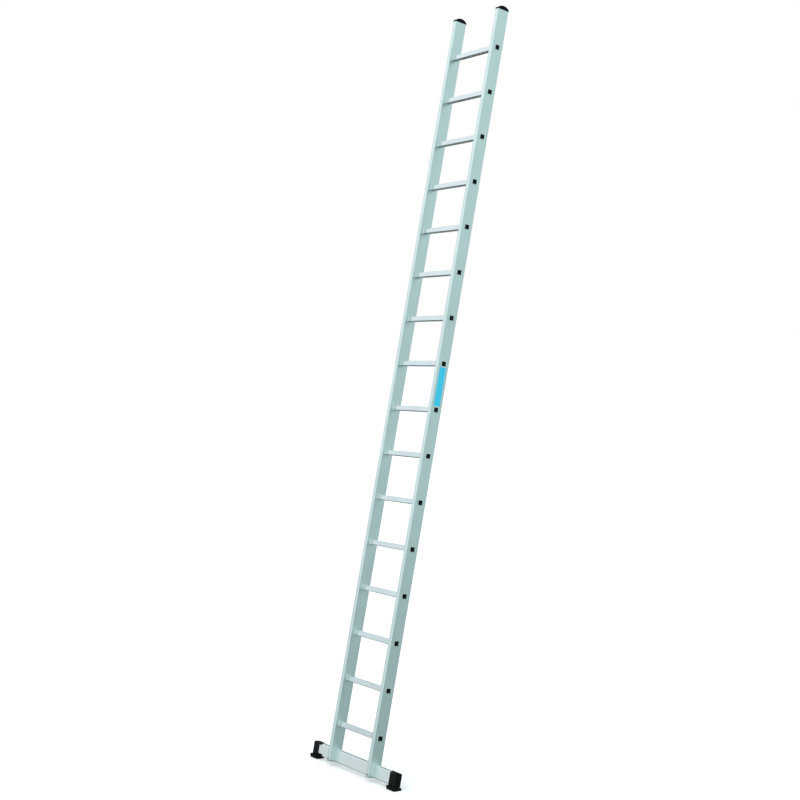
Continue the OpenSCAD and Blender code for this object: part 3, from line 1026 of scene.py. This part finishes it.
class LADDER_OT_top_caps(Operator):
    """Build the domed caps on the stiles"""

    bl_idname = "ladder.top_caps"
    bl_label = "Top caps"

    def execute(self, context):
        for word, side in SIDES:
            node = f"top_cap_{word}"
            place = TO_ROW @ Matrix.Translation((side * STILE.middle.x, 0, STILE.high.z))
            cap = build_top_cap(context.scene.ladder_sizes, Box(node))
            finish_piece(f"{node}_moulded", cap, place, finish("black_plastic"),
                         [node])
        return {"FINISHED"}


class LADDER_OT_crossbar(Operator):
    """Build the stabiliser crossbar"""

    bl_idname = "ladder.crossbar"
    bl_label = "Crossbar"

    def execute(self, context):
        finish_piece("crossbar_tube", build_crossbar(context.scene.ladder_sizes), TO_ROW,
                     finish("crossbar_aluminium"), ["crossbar"])
        return {"FINISHED"}


class LADDER_OT_stile_end_plugs(Operator):
    """Build the plugs in the lower ends of the stiles"""

    bl_idname = "ladder.stile_end_plugs"
    bl_label = "Stile end plugs"

    def execute(self, context):
        for word, side in SIDES:
            node = f"stile_end_plug_{word}"
            box = Box(node)
            place = TO_ROW @ Matrix.Translation((side * STILE.middle.x, 0, box.low.z))
            plug = build_stile_end_plug(context.scene.ladder_sizes, box)
            finish_piece(f"{node}_moulded", plug, place, finish("black_plastic"),
                         [node])
        return {"FINISHED"}


class LADDER_OT_feet(Operator):
    """Build the foot shells and their rubber soles"""

    bl_idname = "ladder.feet"
    bl_label = "Feet"

    def execute(self, context):
        sizes = context.scene.ladder_sizes
        for word, side in SIDES:
            node = f"foot_shell_{word}"
            shell = build_foot_shell(sizes, Box(node), side)
            finish_piece(f"{node}_moulded", shell, TO_ROW, finish("foot_plastic"),
                         [node])
            node = f"sole_pad_{word}"
            pad = build_sole_pad(sizes, node, side)
            finish_piece(f"{node}_moulded", pad, Matrix.Identity(4), finish("sole_rubber"),
                         [node])
        return {"FINISHED"}


class LADDER_OT_fixings(Operator):
    """Build the crossbar's bolts, washers and nuts"""

    bl_idname = "ladder.fixings"
    bl_label = "Crossbar fixings"

    def execute(self, context):
        makers = {"crossbar_bolts": one_bolt, "crossbar_washers": two_washers,
                  "crossbar_nuts": one_nut}
        for node, make in makers.items():
            finish_piece(f"{node}_plated", at_bolts(make), TO_ROW, finish("zinc_plate"),
                         [node])
        return {"FINISHED"}


class LADDER_OT_label(Operator):
    """Build the plain label on the right stile"""

    bl_idname = "ladder.label"
    bl_label = "Label"

    def execute(self, context):
        label = build_label(context.scene.ladder_sizes, Box("label"))
        finish_piece("label_printed", label, TO_ROW, finish("label_film"),
                     ["label"])
        return {"FINISHED"}


class LADDER_OT_studio(Operator):
    """Build the floor, the soft light and the camera"""

    bl_idname = "ladder.studio"
    bl_label = "Studio"

    def execute(self, context):
        studio = context.scene.ladder_studio
        make_floor(studio)
        make_sky(studio)
        make_camera(studio)
        context.scene.view_settings.view_transform = "Standard"
        return {"FINISHED"}


def make_floor(studio):
    bm = bmesh.new()
    bmesh.ops.create_grid(bm, x_segments=1, y_segments=1, size=200)
    floor = loose_object("studio_floor", bm)
    material = bpy.data.materials.new("studio_floor")
    material.use_nodes = True
    tree = material.node_tree
    shader = tree.nodes["Principled BSDF"]
    coordinates = add(tree, "ShaderNodeTexCoord")
    mottle = noise(tree, coordinates.outputs["Object"], 3, 2, 0.5)
    tree.links.new(
        blend_colour(tree, spread(tree, mottle, 0.3, 0.7, 0, 0.2), studio.floor_colour,
                     shaded(studio.floor_colour, 0.98)),
        shader.inputs["Base Color"])
    shader.inputs["Roughness"].default_value = 0.9
    shader.inputs["Specular IOR Level"].default_value = 0.0
    shader.inputs["Emission Color"].default_value = (0.97, 0.99, 1.0, 1)
    shader.inputs["Emission Strength"].default_value = studio.floor_glow
    floor.data.materials.append(material)
    floor.visible_glossy = False
    floor.visible_diffuse = False


def make_sky(studio):
    """Soft light all round: bright in front and above, dim to the back and below."""
    world = bpy.data.worlds.new("studio_sky")
    bpy.context.scene.world = world
    world.use_nodes = True
    tree = world.node_tree
    tree.nodes.clear()
    direction = add(tree, "ShaderNodeTexCoord").outputs["Generated"]
    parts = add(tree, "ShaderNodeSeparateXYZ", {"Vector": direction})
    side = spread(tree, parts.outputs["X"], 0, 1, 0, studio.side_lift)
    raised = add(tree, "ShaderNodeMath", {0: parts.outputs["Z"], 1: side}, operation="ADD")
    level = spread(tree, raised.outputs[0], -1, 1, 0, 1)
    height = add(tree, "ShaderNodeValToRGB", {"Fac": level})
    stops = height.color_ramp.elements
    stops[0].position, stops[0].color = 0.0, (0.42, 0.43, 0.43, 1)
    stops[1].position, stops[1].color = 1.0, (0.80, 0.81, 0.82, 1)
    low = ((0.14, 0.30), (0.24, 0.012), (0.36, 0.012))
    for place, value in (*low, (0.44, 0.36), (0.5, 0.62), (0.6, 0.68)):
        stop = stops.new(place)
        stop.color = (value, value * 1.01, value * 1.02, 1)
    facing = add(tree, "ShaderNodeVectorMath", {0: direction, 1: (-0.72, -0.69, 0.0)},
                 operation="DOT_PRODUCT")
    front = spread(tree, facing.outputs["Value"], -1, 0.6, 0, 1)
    tint = blend_colour(tree, front, studio.back_light, studio.front_light)
    light = add(tree, "ShaderNodeVectorMath", {0: height.outputs["Color"], 1: tint},
                operation="MULTIPLY")
    # a black flag behind on the left keeps the undersides of the rungs dark
    behind = add(tree, "ShaderNodeVectorMath", {0: direction, 1: (-0.86, 0.46, -0.2)},
                 operation="DOT_PRODUCT")
    flag = spread(tree, behind.outputs["Value"], 0.5, 0.78, 1, 0.06)
    flagged = add(tree, "ShaderNodeVectorMath", {0: light.outputs[0], "Scale": flag},
                  operation="SCALE")
    lit = add(tree, "ShaderNodeBackground", {
        "Color": flagged.outputs[0], "Strength": studio.sky_strength})
    white = add(tree, "ShaderNodeBackground", {"Color": (1, 1, 1, 1), "Strength": 1.0})
    path = add(tree, "ShaderNodeLightPath")
    both = add(tree, "ShaderNodeMixShader", {0: path.outputs["Is Camera Ray"]})
    tree.links.new(lit.outputs[0], both.inputs[1])
    tree.links.new(white.outputs[0], both.inputs[2])
    output = add(tree, "ShaderNodeOutputWorld")
    tree.links.new(both.outputs[0], output.inputs["Surface"])


def make_camera(studio):
    data = bpy.data.cameras.new("camera")
    data.lens = studio.lens
    data.sensor_width = 36
    data.clip_end = 500
    camera = bpy.data.objects.new("camera", data)
    turn = Matrix.Rotation(studio.camera_turn, 4, "Z")
    pitch = Matrix.Rotation(math.radians(90) + studio.camera_pitch, 4, "X")
    roll = Matrix.Rotation(studio.camera_roll, 4, "Z")
    camera.matrix_world = Matrix.Translation(studio.camera_place) @ turn @ pitch @ roll
    bpy.context.scene.collection.objects.link(camera)
    bpy.context.scene.camera = camera


# ---------- add-on ----------


PIECES = (LADDER_OT_stiles, LADDER_OT_rungs, LADDER_OT_rung_plugs, LADDER_OT_top_caps,
          LADDER_OT_crossbar, LADDER_OT_stile_end_plugs, LADDER_OT_feet,
          LADDER_OT_fixings, LADDER_OT_label, LADDER_OT_studio)


class LADDER_PT_panel(Panel):
    """Lists the ladder's pieces and their settings"""

    bl_idname = "LADDER_PT_panel"
    bl_label = "Leaning Ladder"
    bl_space_type = "VIEW_3D"
    bl_region_type = "UI"
    bl_category = "Ladder"

    def draw(self, context):
        layout = self.layout
        for piece in PIECES:
            layout.operator(piece.bl_idname)
        for group in ("ladder_sizes", "ladder_finishes", "ladder_studio"):
            settings = getattr(context.scene, group)
            box = layout.box()
            for name in settings.__annotations__:
                box.prop(settings, name)


GROUPS = {"ladder_sizes": LadderSizes, "ladder_finishes": LadderFinishes,
          "ladder_studio": LadderStudio}
CLASSES = (*GROUPS.values(), *PIECES, LADDER_PT_panel)


def register():
    for cls in CLASSES:
        bpy.utils.register_class(cls)
    for name, group in GROUPS.items():
        setattr(bpy.types.Scene, name, PointerProperty(type=group))


def unregister():
    for name in GROUPS:
        delattr(bpy.types.Scene, name)
    for cls in reversed(CLASSES):
        bpy.utils.unregister_class(cls)


def main():
    register()
    bpy.ops.ladder.studio()
    bpy.ops.ladder.stiles()
    bpy.ops.ladder.rungs()
    bpy.ops.ladder.rung_plugs()
    bpy.ops.ladder.top_caps()
    bpy.ops.ladder.crossbar()
    bpy.ops.ladder.stile_end_plugs()
    bpy.ops.ladder.feet()
    bpy.ops.ladder.fixings()
    bpy.ops.ladder.label()


if __name__ == "__main__":
    main()
